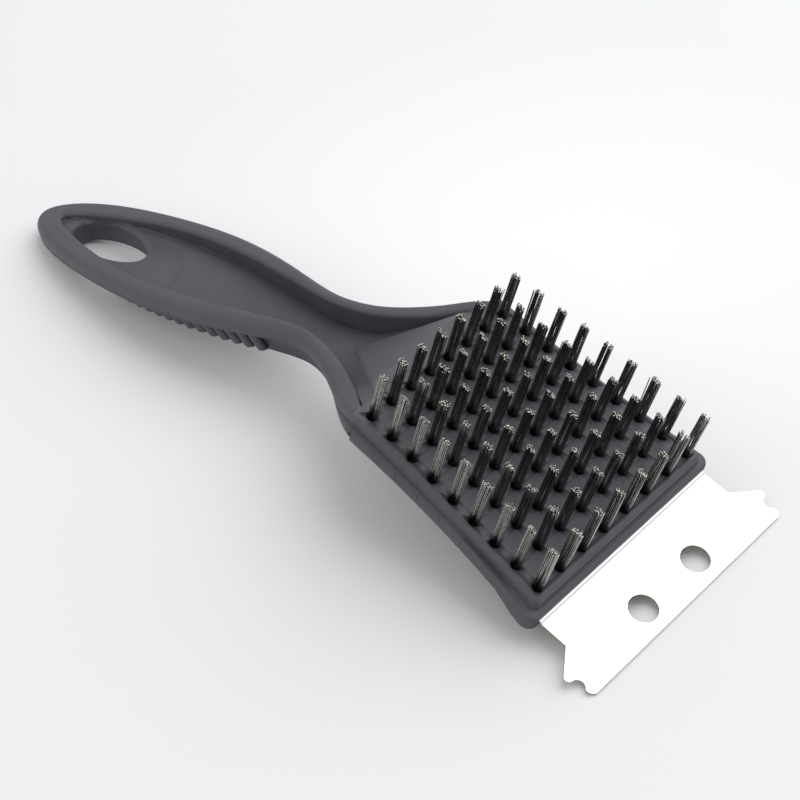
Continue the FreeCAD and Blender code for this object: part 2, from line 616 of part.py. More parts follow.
def thumb_dish(size):
    """Round dish in the hollow's floor, level in the middle and curved up to its edge."""
    slope = math.tan(math.radians(size.dish_edge_slope))
    height = size.dish_depth + size.tray_grip_depth
    level = size.dish_radius - size.dish_depth / slope
    bowl = Part.makeCone(level, level + height / slope, height)
    foot = [edge for edge in bowl.Edges if edge.BoundBox.ZMax < NEAR]
    bowl = bowl.makeFillet(size.dish_edge_round, foot)
    fall = size.tray_grip_depth - size.tray_tip_depth
    run = size.tip_station - size.grip_station
    floor = size.tray_tip_depth + fall * (size.tip_station - size.dish_station) / run
    bowl.rotate(V(0, 0, 0), V(0, 1, 0), -math.degrees(math.atan2(fall, run)))
    bowl.translate(V(size.dish_station, size.dish_side, -floor - size.dish_depth))
    return bowl.common(prism(tray_outline(size), -size.hull_neck_depth, 0))


def hollow_floor(size):
    """What fills the rim up to the hollow's floor and the valley beside the ramp."""
    behind_bend = Part.makeBox(size.tip_station, 2 * widest(size), 2 * size.rim_height,
                               V(0, -widest(size), -size.rim_height))
    return prism(tray_outline(size), -size.rim_height, -size.rim_sink).common(behind_bend)


def handle_pieces(size):
    """Rim, floor, lower grip with its ribs, and ledge of the handle, in the head's axes."""
    openings = [tray_cutter(size), hang_hole(size), thumb_dish(size)]
    pieces = [rim_ring(size),
              hollow_floor(size).cut(openings),
              lower_grip(size).fuse([rib_pad(size)] + grip_ribs(size)).cut(openings),
              handle_ledge(size).cut(prism(tray_outline(size), -2 * size.rim_height, 1))]
    for piece in pieces:
        piece.Placement = handle_axes(size)
    far = far_away(size)
    above_ledge = Part.makeBox(2 * far, 2 * far, far, V(-far, -far, -size.ledge_drop))
    return pieces[:-1] + [pieces[-1].cut(above_ledge)]


def head_solid(size):
    """Raised bristle face on its ledge, over the stepped-in lower part."""
    return face_solid(size).fuse([ledge_solid(size), skirt_solid(size)])


def row_station(size, row):
    """X of a row of tufts, counted from the handle end."""
    return row * size.row_pitch - size.half_field


def row_pitch_across(size, row):
    """Tuft spacing across a row, which grows towards the scraper."""
    return size.across_pitch + size.across_spread * row_station(size, row)


def tuft_sockets(size):
    """One round blind hole for each tuft."""
    holes = []
    for row in range(int(size.tuft_rows)):
        pitch = row_pitch_across(size, row)
        for column in range(int(size.tufts_per_row)):
            place = V(row_station(size, row), (column - size.side_tufts) * pitch, -size.socket_depth)
            holes.append(Part.makeCylinder(size.socket_radius, size.socket_depth + 1, place))
    return holes


def tab_places(size):
    """Y of the three tabs that reach back between the tufts."""
    return [index * size.tab_spacing for index in (-1, 0, 1)]


def scraper_slot(size):
    """Slot in the front wall for the sheet's rear strip and its three tabs."""
    gap = size.slot_clearance
    top = -size.blade_slot_level + gap
    thickness = size.blade_thickness + 2 * gap
    back = size.blade_grip_back - gap
    half = size.blade_root_half + gap
    strip = Part.makeBox(size.head_front + 1 - back, 2 * half, thickness, V(back, -half, top - thickness))
    tab_back = size.tab_back - gap
    tab_half = size.tab_half + gap
    tabs = [Part.makeBox(size.head_front - tab_back, 2 * tab_half, thickness,
                         V(tab_back, place - tab_half, top - thickness)) for place in tab_places(size)]
    return [strip] + tabs


def screw_holes(size):
    """Pilot, clearance hole and counterbore for each scraper screw, from the back."""
    pilot = size.screw_radius + size.pilot_clearance
    passage = size.screw_radius + size.screw_clearance
    recess = size.screw_head_radius + size.counterbore_clearance
    cutters = []
    for place in tab_places(size):
        seat = V(size.screw_station, place, -size.screw_seat)
        back = V(size.screw_station, place, -size.head_depth - 1)
        cutters.append(Part.makeCylinder(pilot, size.screw_seat - size.screw_tip_cover, seat))
        cutters.append(Part.makeCylinder(passage, size.screw_floor, seat))
        cutters.append(Part.makeCylinder(recess, size.head_depth - size.screw_seat + 1, back))
    return cutters


def make_brush_body(doc, size):
    """The one-piece moulding: head, rim, hollow, grip, and all its holes."""
    moulding = doc.addObject("Part::Feature", "moulding")
    shape = head_solid(size).fuse(handle_pieces(size) + [prow(size)])
    moulding.Shape = shape.removeSplitter()
    holes = doc.addObject("Part::Feature", "body_holes")
    fixings = scraper_slot(size) + screw_holes(size)
    fixings = fixings[0].fuse(fixings[1:])
    holes.Shape = Part.makeCompound(tuft_sockets(size) + fixings.Solids)
    body = doc.addObject("Part::Cut", "brush_body")
    body.Label = "brush_body"
    body.Base = moulding
    body.Tool = holes
    return body


# --------------------------------------------------------------------------------------
# Sketch helpers
# --------------------------------------------------------------------------------------

def origin_feature(body, role):
    """One of the body's own origin planes or axes."""
    return [feature for feature in body.Origin.OriginFeatures if feature.Role == role][0]


def new_sketch(body, name, role, offset_expression=None, offset=0.0):
    """A sketch on one of the body's origin planes, moved along its normal if asked."""
    sketch = body.newObject("Sketcher::SketchObject", name)
    sketch.AttachmentSupport = [(origin_feature(body, role), "")]
    sketch.MapMode = "FlatFace"
    if offset_expression:
        sketch.AttachmentOffset = FreeCAD.Placement(V(0, 0, offset), FreeCAD.Rotation())
        sketch.setExpression("AttachmentOffset.Base.z", offset_expression)
    return sketch


def bound_place(sketch, circle, x, y, x_expression, y_expression):
    """Binds the place of a circle's centre to the sheet."""
    bound(sketch, Sketcher.Constraint("DistanceX", -1, 1, circle, 3, x), x_expression)
    bound(sketch, Sketcher.Constraint("DistanceY", -1, 1, circle, 3, y), y_expression)


def bound(sketch, constraint, expression):
    """Adds a constraint and binds its value to the sheet."""
    index = sketch.addConstraint(constraint)
    sketch.setExpression(f"Constraints[{index}]", expression)


def bound_circle(sketch, x, radius, x_expression, radius_expression):
    """A circle on the sketch's X axis with its place and radius bound to the sheet."""
    circle = sketch.addGeometry(Part.Circle(V(x, 0, 0), V(0, 0, 1), radius))
    bound(sketch, Sketcher.Constraint("Radius", circle, radius), radius_expression)
    sketch.addConstraint(Sketcher.Constraint("PointOnObject", circle, 3, -1))
    bound(sketch, Sketcher.Constraint("DistanceX", -1, 1, circle, 3, x), x_expression)


def bound_rectangle(sketch, width, height, width_expression, height_expression):
    """A rectangle centred on the sketch's origin with both sides bound to the sheet."""
    corners = [V(-width / 2, -height / 2, 0), V(width / 2, -height / 2, 0),
               V(width / 2, height / 2, 0), V(-width / 2, height / 2, 0)]
    sides = [sketch.addGeometry(Part.LineSegment(corners[i], corners[(i + 1) % 4])) for i in range(4)]
    for index in range(4):
        sketch.addConstraint(Sketcher.Constraint("Coincident", sides[index], 2, sides[(index + 1) % 4], 1))
    for index, kind in enumerate(("Horizontal", "Vertical", "Horizontal", "Vertical")):
        sketch.addConstraint(Sketcher.Constraint(kind, sides[index]))
    sketch.addConstraint(Sketcher.Constraint("Symmetric", sides[0], 1, sides[1], 2, -1, 1))
    bound(sketch, Sketcher.Constraint("DistanceX", sides[0], 1, sides[0], 2, width), width_expression)
    bound(sketch, Sketcher.Constraint("DistanceY", sides[1], 1, sides[1], 2, height), height_expression)


def repeat_across(body, features, row):
    """Repeats the row's first tuft or anchor across the head."""
    pattern = body.newObject("PartDesign::LinearPattern", f"{body.Name}_across")
    pattern.Originals = features
    pattern.Direction = (origin_feature(body, "Y_Axis"), [""])
    spacing = (f"(Dimensions.across_pitch + Dimensions.across_spread * "
               f"({row} * Dimensions.row_pitch - Dimensions.half_field))")
    pattern.setExpression("Length", f"(Dimensions.tufts_per_row - 1) * {spacing}")
    pattern.setExpression("Occurrences", "Dimensions.tufts_per_row")
    body.Tip = pattern


def new_body(doc, label):
    """A PartDesign body whose label names its file, with several solids allowed."""
    body = doc.addObject("PartDesign::Body", label)
    body.Label = label
    body.AllowCompound = True
    return body


def first_in_row(size, row):
    """Placement of a row's first tuft in the head's axes."""
    first_y = -size.side_tufts * row_pitch_across(size, row)
    return FreeCAD.Placement(V(row_station(size, row), first_y, 0), FreeCAD.Rotation())


# --------------------------------------------------------------------------------------
# Tufts and anchors
# --------------------------------------------------------------------------------------

def make_tuft_row(doc, size, row):
    """Eight tufts: each is a bundle folded into a U, bend down in its hole."""
    body = new_body(doc, f"tuft_row_{row + 1}")
    legs = new_sketch(body, f"legs_{row + 1}", "XY_Plane", "-Dimensions.bend_depth", -size.bend_depth)
    for side in (-1, 1):
        bound_circle(legs, side * size.leg_offset, size.leg_radius,
                     f"{side} * Dimensions.leg_offset", "Dimensions.leg_radius")
    pad = body.newObject("PartDesign::Pad", f"leg_pad_{row + 1}")
    pad.Profile = legs
    pad.setExpression("Length", "Dimensions.tuft_height + Dimensions.bend_depth")
    section = new_sketch(body, f"fold_section_{row + 1}", "XY_Plane", "-Dimensions.bend_depth",
                         -size.bend_depth)
    bound_circle(section, size.leg_offset, size.leg_radius,
                 "Dimensions.leg_offset", "Dimensions.leg_radius")
    fold = body.newObject("PartDesign::Revolution", f"fold_{row + 1}")
    fold.Profile = section
    fold.ReferenceAxis = (section, ["V_Axis"])
    fold.Angle = 180
    repeat_across(body, [pad, fold], row)
    body.Placement = resting_placement(size).multiply(first_in_row(size, row))
    return body


def make_anchor_row(doc, size, row):
    """Eight flat wires, each across its hole in the fold of its tuft."""
    body = new_body(doc, f"anchor_row_{row + 1}")
    half_chord = "sqrt(Dimensions.socket_radius^2 - (Dimensions.anchor_thickness / 2)^2)"
    length = 2 * (math.sqrt(size.socket_radius ** 2 - (size.anchor_thickness / 2) ** 2)
                  - size.anchor_clearance)
    plan = new_sketch(body, f"anchor_plan_{row + 1}", "XY_Plane", "-Dimensions.bend_depth", -size.bend_depth)
    bound_rectangle(plan, size.anchor_thickness, length, "Dimensions.anchor_thickness",
                    f"2 * ({half_chord} - Dimensions.anchor_clearance)")
    pad = body.newObject("PartDesign::Pad", f"anchor_pad_{row + 1}")
    pad.Profile = plan
    pad.setExpression("Length", "Dimensions.anchor_height")
    repeat_across(body, [pad], row)
    body.Placement = resting_placement(size).multiply(first_in_row(size, row))
    return body


# --------------------------------------------------------------------------------------
# Scraper and screws
# --------------------------------------------------------------------------------------

def blade_profile(size):
    """Side view of the bent sheet as closed corner points (x, z)."""
    t = size.blade_thickness
    slot = -size.blade_slot_level
    root = -size.blade_root_level
    edge = -size.blade_tip_level
    shift = size.blade_step_shift
    top = [(size.tab_back, slot), (size.blade_step_start, slot), (size.blade_step_end, root),
           (size.blade_edge, edge)]
    bottom = [(size.blade_edge, edge - t), (size.blade_step_end - shift, root - t),
              (size.blade_step_start - shift, slot - t), (size.tab_back, slot - t)]
    return top + bottom


def blade_outline(size):
    """Plan of the sheet: strip and tabs in the slot, then the winged and notched blade."""
    root = size.blade_root_half
    wing = size.blade_wing_half
    back = size.blade_grip_back
    edge = size.blade_edge
    tab = size.tab_half
    tab_y = size.tab_spacing
    start = size.blade_wing_corner
    horn = (start + size.blade_wing_slant, wing - size.horn_round)
    notch = (horn[0] + size.notch_start, wing - size.notch_lip)
    lobe = (edge - size.lobe_length, wing - size.lobe_side)
    return [line((size.tab_back, 0), (size.tab_back, tab)),
            line((size.tab_back, tab), (back, tab)),
            line((back, tab), (back, tab_y - tab)),
            line((back, tab_y - tab), (size.tab_back, tab_y - tab)),
            line((size.tab_back, tab_y - tab), (size.tab_back, tab_y + tab)),
            line((size.tab_back, tab_y + tab), (back, tab_y + tab)),
            line((back, tab_y + tab), (back, root)),
            line((back, root), (start, root)),
            line((start, root), horn),
            arc(horn, (horn[0] + size.horn_length, wing), notch),
            arc(notch, ((notch[0] + lobe[0]) / 2, wing - size.notch_depth), lobe),
            arc(lobe, (edge - size.lobe_round, wing - size.lobe_middle), (edge, wing - size.lobe_end)),
            line((edge, wing - size.lobe_end), (edge, 0))]


def make_scraper(doc, size):
    """The scraper: one bent sheet, trimmed to its plan, with its holes."""
    body = new_body(doc, "scraper_blade")
    side = new_sketch(body, "blade_side_view", "XZ_Plane")
    closed_polygon(side, [V(x, z, 0) for x, z in blade_profile(size)])
    sheet = body.newObject("PartDesign::Pad", "blade_sheet")
    sheet.Profile = side
    sheet.Midplane = True
    sheet.setExpression("Length", "4 * Dimensions.blade_wing_half")
    doc.recompute()
    plan = new_sketch(body, "blade_trim", "XY_Plane")
    for edge in mirrored_wire(blade_outline(size)).Edges:
        plan.addGeometry(sketch_curve(edge))
    far = far_away(size)
    closed_polygon(plan, [V(-far, -far, 0), V(far, -far, 0), V(far, far, 0), V(-far, far, 0)])
    trimmed = body.newObject("PartDesign::Pocket", "blade_trimmed")
    trimmed.Profile = plan
    trimmed.Midplane = True
    trimmed.Type = 1
    doc.recompute()
    pierced = body.newObject("PartDesign::Pocket", "blade_pierced")
    pierced.Profile = blade_hole_sketch(body, size)
    pierced.Midplane = True
    pierced.Type = 1
    body.Tip = pierced
    doc.recompute()
    body.Placement = resting_placement(size)
    return body


def blade_hole_sketch(body, size):
    """The sheet's two round holes and the screw holes in its three tabs."""
    holes = new_sketch(body, "blade_holes", "XY_Plane")
    for side in (-1, 1):
        y = side * size.blade_hole_spacing / 2
        circle = Part.Circle(V(size.blade_hole_station, y, 0), V(0, 0, 1), size.blade_hole_radius)
        hole = holes.addGeometry(circle)
        bound(holes, Sketcher.Constraint("Radius", hole, size.blade_hole_radius),
              "Dimensions.blade_hole_radius")
        bound_place(holes, hole, size.blade_hole_station, y,
                    "Dimensions.blade_hole_station", f"{side} * Dimensions.blade_hole_spacing / 2")
    radius = size.screw_radius + size.screw_clearance
    for index, y in enumerate(tab_places(size), -1):
        hole = holes.addGeometry(Part.Circle(V(size.screw_station, y, 0), V(0, 0, 1), radius))
        bound(holes, Sketcher.Constraint("Radius", hole, radius),
              "Dimensions.screw_radius + Dimensions.screw_clearance")
        if index:
            bound_place(holes, hole, size.screw_station, y,
                        "Dimensions.screw_station", f"{index} * Dimensions.tab_spacing")
        else:
            holes.addConstraint(Sketcher.Constraint("PointOnObject", hole, 3, -1))
            bound(holes, Sketcher.Constraint("DistanceX", -1, 1, hole, 3, size.screw_station),
                  "Dimensions.screw_station")
    return holes


def closed_polygon(sketch, corners):
    """Straight sides through the given corners, joined end to end."""
    sides = [sketch.addGeometry(Part.LineSegment(corner, corners[(index + 1) % len(corners)]))
             for index, corner in enumerate(corners)]
    for index, side in enumerate(sides):
        sketch.addConstraint(Sketcher.Constraint("Coincident", side, 2, sides[(index + 1) % len(sides)], 1))


def sketch_curve(edge):
    """The sketch geometry that draws one straight or round edge."""
    if isinstance(edge.Curve, Part.Line):
        return Part.LineSegment(*[vertex.Point for vertex in edge.Vertexes])
    middle = edge.valueAt((edge.FirstParameter + edge.LastParameter) / 2)
    return Part.Arc(edge.valueAt(edge.FirstParameter), middle, edge.valueAt(edge.LastParameter))


def make_screws(doc, size):
    """Three pan-head screws that hold the scraper's tabs from the back."""
    screws = doc.addObject("Part::Feature", "scraper_screws")
    seat = -size.screw_seat
    tip = -size.screw_tip_cover - size.screw_tip_gap
    low = seat - size.screw_head_height
    shank = Part.makeCylinder(size.screw_radius, tip - seat - size.screw_point_length, V(0, 0, seat))
    point = Part.makeCone(size.screw_radius, size.screw_point_radius, size.screw_point_length,
                          V(0, 0, tip - size.screw_point_length))
    head = Part.makeCylinder(size.screw_head_radius, size.screw_head_height, V(0, 0, low))
    end = [edge for edge in head.Edges if edge.BoundBox.ZMax < low + NEAR]
    head = head.makeFillet(size.screw_head_round, end)
    length = size.screw_cross_length
    width = size.screw_cross_width
    depth = size.screw_cross_depth
    cross = [Part.makeBox(length, width, 2 * depth, V(-length / 2, -width / 2, low - depth)),
             Part.makeBox(width, length, 2 * depth, V(-width / 2, -length / 2, low - depth))]
    screw = head.fuse([shank, point]).cut(cross[0].fuse([cross[1]])).removeSplitter()
    copies = []
    for place in tab_places(size):
        copy = screw.copy()
        copy.translate(V(size.screw_station, place, 0))
        copies.append(copy)
    screws.Shape = Part.makeCompound(copies)
    screws.Label = "scraper_screws"
    screws.Placement = resting_placement(size)
    return screws


# --------------------------------------------------------------------------------------
# Build, check and write
# --------------------------------------------------------------------------------------

def check_and_write(doc, parts):
    """Stops on any failed object or bad shape, then writes one STEP file per sub-part."""
    for item in doc.Objects:
        if "Invalid" in item.State or "Error" in item.State:
            raise RuntimeError(f"{item.Label} failed: {item.State}")
    for part in parts:
        if part.Shape.isNull() or not part.Shape.isValid():
            raise RuntimeError(f"{part.Label} has no valid shape")
    os.makedirs("parts", exist_ok=True)
    for part in parts:
        part.Shape.exportStep(f"parts/{part.Label}.step")
        print(f"{part.Label}: {len(part.Shape.Solids)} solids, {part.Shape.Volume:.1f} mm3")


def main():
    """Builds the brush."""
    doc = FreeCAD.newDocument("grill_brush")
    size = Sizes(make_sheet(doc))
    body = make_brush_body(doc, size)
    doc.recompute()
    body.Placement = resting_placement(size)
    parts = [body, make_scraper(doc, size), make_screws(doc, size)]
    for row in range(int(size.tuft_rows)):
        parts.append(make_tuft_row(doc, size, row))
        parts.append(make_anchor_row(doc, size, row))
    doc.recompute()
    check_and_write(doc, parts)


main()
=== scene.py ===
"""Grill cleaning brush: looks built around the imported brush.

The moulded body is a clean copy of its solid, every tuft is made of single steel wires,
and the scraper, screws and anchors are dressed in their own finishes.
"""

from __future__ import annotations

import json
import logging
import math
import random
from dataclasses import dataclass, field

import bmesh
import bpy
from mathutils import Matrix, Vector

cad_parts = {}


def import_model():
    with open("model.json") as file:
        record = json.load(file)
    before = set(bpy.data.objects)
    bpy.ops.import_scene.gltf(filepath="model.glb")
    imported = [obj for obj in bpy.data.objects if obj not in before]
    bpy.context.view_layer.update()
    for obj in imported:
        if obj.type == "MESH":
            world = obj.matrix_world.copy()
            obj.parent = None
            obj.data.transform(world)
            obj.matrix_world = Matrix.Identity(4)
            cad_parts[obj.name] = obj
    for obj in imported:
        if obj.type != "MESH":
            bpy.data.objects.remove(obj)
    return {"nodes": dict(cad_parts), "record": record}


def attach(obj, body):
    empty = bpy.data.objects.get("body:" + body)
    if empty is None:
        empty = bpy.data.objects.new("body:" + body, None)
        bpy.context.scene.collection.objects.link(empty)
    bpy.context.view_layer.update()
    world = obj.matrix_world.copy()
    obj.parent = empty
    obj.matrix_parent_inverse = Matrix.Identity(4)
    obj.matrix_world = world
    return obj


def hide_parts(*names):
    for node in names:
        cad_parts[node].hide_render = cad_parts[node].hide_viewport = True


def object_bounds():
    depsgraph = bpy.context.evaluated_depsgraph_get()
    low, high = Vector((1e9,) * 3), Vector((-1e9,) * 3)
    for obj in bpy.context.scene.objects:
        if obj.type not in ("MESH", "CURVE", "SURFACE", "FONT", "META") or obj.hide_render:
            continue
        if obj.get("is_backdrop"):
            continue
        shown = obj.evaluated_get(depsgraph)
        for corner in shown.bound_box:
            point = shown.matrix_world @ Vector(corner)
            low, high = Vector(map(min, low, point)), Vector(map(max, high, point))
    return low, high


LOG = logging.getLogger("grill_brush")
MM = 0.001
SHADING_RAYS = 6


# --------------------------------------------------------------------------------------
# Shader helpers
# --------------------------------------------------------------------------------------

class Shader:
    """A node material under construction, with short calls for the nodes it uses."""

    def __init__(self, name: str) -> None:
        """Starts an empty node tree with a Principled shader on its output.

        Args:
            name: The material's name.
        """
        self.material = bpy.data.materials.new(name)
        self.material.use_nodes = True
        self.tree = self.material.node_tree
        self.tree.nodes.clear()
        self.output = self.tree.nodes.new("ShaderNodeOutputMaterial")
        self.surface = self.tree.nodes.new("ShaderNodeBsdfPrincipled")
        self.relief: bpy.types.ShaderNode | None = None
        self.link(self.surface.outputs["BSDF"], self.output.inputs["Surface"])

    def link(self, source: bpy.types.NodeSocket, target: bpy.types.NodeSocket) -> None:
        """Joins two sockets."""
        self.tree.links.new(source, target)

    def set(self, socket: str, value: object) -> None:
        """Sets a constant on the Principled shader's own socket."""
        self.surface.inputs[socket].default_value = value

    def place(self) -> bpy.types.NodeSocket:
        """The surface point in the object's own coordinates.

        Returns:
            The vector socket.
        """
        node = self.tree.nodes.new("ShaderNodeTexCoord")
        return node.outputs["Object"]

    def stretched(self, scale: tuple[float, float, float]) -> bpy.types.NodeSocket:
        """Object coordinates, scaled along each axis.

        Args:
            scale: The scales.

        Returns:
            The vector socket.
        """
        node = self.tree.nodes.new("ShaderNodeMapping")
        node.inputs["Scale"].default_value = scale
        self.link(self.place(), node.inputs["Vector"])
        return node.outputs["Vector"]

    def noise(self, vector: bpy.types.NodeSocket, scale: float, detail: float = 3.0,
              rough: float = 0.5) -> bpy.types.NodeSocket:
        """A noise pattern.

        Args:
            vector: Where it is read.
            scale: Its frequency.
            detail: Its octaves.
            rough: The weight of the finer octaves.

        Returns:
            The factor socket.
        """
        node = self.tree.nodes.new("ShaderNodeTexNoise")
        node.inputs["Scale"].default_value = scale
        node.inputs["Detail"].default_value = detail
        node.inputs["Roughness"].default_value = rough
        self.link(vector, node.inputs["Vector"])
        return node.outputs["Fac"]

    def ramp(self, factor: bpy.types.NodeSocket, stops: list[tuple[float, tuple[float, float, float]]]
             ) -> bpy.types.NodeSocket:
        """Colours along a factor.

        Args:
            factor: The value from 0 to 1.
            stops: Position and colour of each stop.

        Returns:
            The colour socket.
        """
        node = self.tree.nodes.new("ShaderNodeValToRGB")
        elements = node.color_ramp.elements
        while len(elements) < len(stops):
            elements.new(0.5)
        for element, (position, colour) in zip(elements, stops):
            element.position = position
            element.color = (*colour, 1.0)
        self.link(factor, node.inputs["Fac"])
        return node.outputs["Color"]

    def span(self, factor: bpy.types.NodeSocket, low: float, high: float,
             start: float = 0.0, end: float = 1.0) -> bpy.types.NodeSocket:
        """Maps a factor to a range of values.

        Args:
            factor: The incoming value.
            low: The result at start.
            high: The result at end.
            start: Where the range begins.
            end: Where it ends.

        Returns:
            The value socket.
        """
        node = self.tree.nodes.new("ShaderNodeMapRange")
        node.inputs["From Min"].default_value = start
        node.inputs["From Max"].default_value = end
        node.inputs["To Min"].default_value = low
        node.inputs["To Max"].default_value = high
        self.link(factor, node.inputs["Value"])
        return node.outputs["Result"]

    def facing(self, direction: tuple[float, float, float]) -> bpy.types.NodeSocket:
        """How squarely the surface lies across a direction, from 0 edge-on to 1 flat.

        Args:
            direction: A unit direction in the object's own coordinates.

        Returns:
            The value socket.
        """
        coordinates = self.tree.nodes.new("ShaderNodeTexCoord")
        node = self.tree.nodes.new("ShaderNodeVectorMath")
        node.operation = "DOT_PRODUCT"
        self.link(coordinates.outputs["Normal"], node.inputs[0])
        node.inputs[1].default_value = direction
        return self.maths("ABSOLUTE", node.outputs["Value"])

    def blend(self, factor: bpy.types.NodeSocket, first: object, second: object) -> bpy.types.NodeSocket:
        """Mixes two colours, each a socket or a plain colour.

        Args:
            factor: How much of the second.
            first: The first colour.
            second: The second colour.

        Returns:
            The colour socket.
        """
        node = self.tree.nodes.new("ShaderNodeMix")
        node.data_type = "RGBA"
        self.link(factor, node.inputs[0])
        # Of the node's sockets, 0 is the factor, 6 and 7 are the colours, and output 2 is their mix.
        for socket, value in ((node.inputs[6], first), (node.inputs[7], second)):
            if isinstance(value, bpy.types.NodeSocket):
                self.link(value, socket)
            else:
                socket.default_value = (*value, 1.0)
        return node.outputs[2]

    def maths(self, operation: str, first: object, second: object = 0.0) -> bpy.types.NodeSocket:
        """A maths node on two values, each a socket or a number.

        Args:
            operation: The operation's name.
            first: The first value.
            second: The second value, where the operation has one.

        Returns:
            The value socket.
        """
        node = self.tree.nodes.new("ShaderNodeMath")
        node.operation = operation
        for index, value in enumerate((first, second)):
            if isinstance(value, bpy.types.NodeSocket):
                self.link(value, node.inputs[index])
            else:
                node.inputs[index].default_value = value
        return node.outputs["Value"]

    def bump(self, height: bpy.types.NodeSocket, distance: float, strength: float) -> None:
        """Puts a bump on the surface's normal.

        Args:
            height: The pattern.
            distance: Its height in metres.
            strength: Its strength.
        """
        node = self.tree.nodes.new("ShaderNodeBump")
        node.inputs["Distance"].default_value = distance
        node.inputs["Strength"].default_value = strength
        self.link(height, node.inputs["Height"])
        self.link(node.outputs["Normal"], self.surface.inputs["Normal"])
        self.relief = node

    def openness(self, reach: float) -> bpy.types.NodeSocket:
        """How open the surface lies, from 0 deep in a corner to 1 in the open.

        Args:
            reach: How far walls nearby still count, in metres.

        Returns:
            The value socket.
        """
        node = self.tree.nodes.new("ShaderNodeAmbientOcclusion")
        node.samples = SHADING_RAYS
        node.only_local = True
        node.inputs["Distance"].default_value = reach
        return node.outputs["AO"]

    def soften(self, radius: float) -> bpy.types.NodeSocket:
        """Rounds the edges in the shading, under the bump.

        Args:
            radius: Radius of the rounding in metres.

        Returns:
            How level the surface is, from 1 on flats down to 0.7 along sharp edges.
        """
        node = self.tree.nodes.new("ShaderNodeBevel")
        node.samples = SHADING_RAYS
        node.inputs["Radius"].default_value = radius
        self.link(node.outputs["Normal"], self.relief.inputs["Normal"])
        geometry = self.tree.nodes.new("ShaderNodeNewGeometry")
        level = self.tree.nodes.new("ShaderNodeVectorMath")
        level.operation = "DOT_PRODUCT"
        self.link(node.outputs["Normal"], level.inputs[0])
        self.link(geometry.outputs["Normal"], level.inputs[1])
        return level.outputs["Value"]


# --------------------------------------------------------------------------------------
# Finishes
# --------------------------------------------------------------------------------------

@dataclass(frozen=True)
class MouldedPlastic:
    """Charcoal plastic with a fine matt moulded grain, a slight painted highlight along its open edges and
    painted shade in its corners.
    """

    name: str = "charcoal_moulded_plastic"
    colour: tuple[float, float, float] = (0.068, 0.072, 0.083)
    # Colour of the painted highlight that lightens open sharp edges.
    painted_edge_highlight: tuple[float, float, float] = (0.13, 0.136, 0.15)
    # Colour of the painted shade that darkens corners and crannies.
    shaded: tuple[float, float, float] = (0.028, 0.03, 0.036)
    edge_radius: float = 0.4 * MM
    cranny: float = 4.0 * MM
    cloud_scale: float = 38.0
    speck_scale: float = 900.0
    grain_scale: float = 2600.0
    grain_height: float = 0.06 * MM
    grain_strength: float = 0.35

    def make(self) -> bpy.types.Material:
        """Builds the material.

        Returns:
            The material.
        """
        shader = Shader(self.name)
        place = shader.place()
        cloud = shader.noise(place, self.cloud_scale, 4.0, 0.55)
        speck = shader.noise(place, self.speck_scale, 2.0)
        darker = tuple(value * 0.88 for value in self.colour)
        lighter = tuple(value * 1.12 for value in self.colour)
        base = shader.ramp(cloud, [(0.3, darker), (0.7, lighter)])
        grain = shader.noise(place, self.grain_scale, 2.0, 0.6)
        shader.bump(grain, self.grain_height, self.grain_strength)
        rounded = shader.span(shader.soften(self.edge_radius), low=0.6, high=0.0, start=0.86, end=0.995)
        openness = shader.openness(self.cranny)
        exposed = shader.span(openness, low=0.0, high=1.0, start=0.6, end=0.9)
        # Mask of the painted edge highlight: sharp edges that lie in the open.
        wear_and_edge_highlight = shader.maths("MULTIPLY", rounded, exposed)
        with_edge_highlight = shader.blend(wear_and_edge_highlight, base, self.painted_edge_highlight)
        # Painted shade: the colour darkens where nearby walls close in, in corners and crannies.
        deep = shader.span(openness, low=0.55, high=0.0, start=0.3, end=0.85)
        shader.link(shader.blend(deep, with_edge_highlight, self.shaded), shader.surface.inputs["Base Color"])
        shader.link(shader.span(speck, 0.46, 0.6), shader.surface.inputs["Roughness"])
        shader.set("Specular IOR Level", 0.5)
        return shader.material


@dataclass(frozen=True)
class SheetSteel:
    """Bright rolled stainless sheet with its grain across the blade and warm cut edges."""

    facing: tuple[float, float, float]
    name: str = "rolled_stainless_sheet"
    colour: tuple[float, float, float] = (0.92, 0.915, 0.905)
    cut: tuple[float, float, float] = (0.5, 0.37, 0.27)
    rolling: tuple[float, float, float] = (220.0, 12.0, 220.0)
    line_scale: float = 14.0
    line_height: float = 0.02 * MM
    line_strength: float = 0.25
    cloud_scale: float = 45.0

    def make(self) -> bpy.types.Material:
        """Builds the material.

        Returns:
            The material.
        """
        shader = Shader(self.name)
        lines = shader.noise(shader.stretched(self.rolling), self.line_scale, 4.0, 0.6)
        cloud = shader.noise(shader.place(), self.cloud_scale)
        darker = tuple(value * 0.96 for value in self.colour)
        sheet = shader.ramp(cloud, [(0.3, darker), (0.7, self.colour)])
        edge = shader.span(shader.facing(self.facing), low=1.0, high=0.0, start=0.35, end=0.6)
        shader.link(shader.blend(edge, sheet, self.cut), shader.surface.inputs["Base Color"])
        shader.set("Metallic", 1.0)
        shader.link(shader.span(lines, 0.34, 0.46), shader.surface.inputs["Roughness"])
        shader.bump(lines, self.line_height, self.line_strength)
        return shader.material


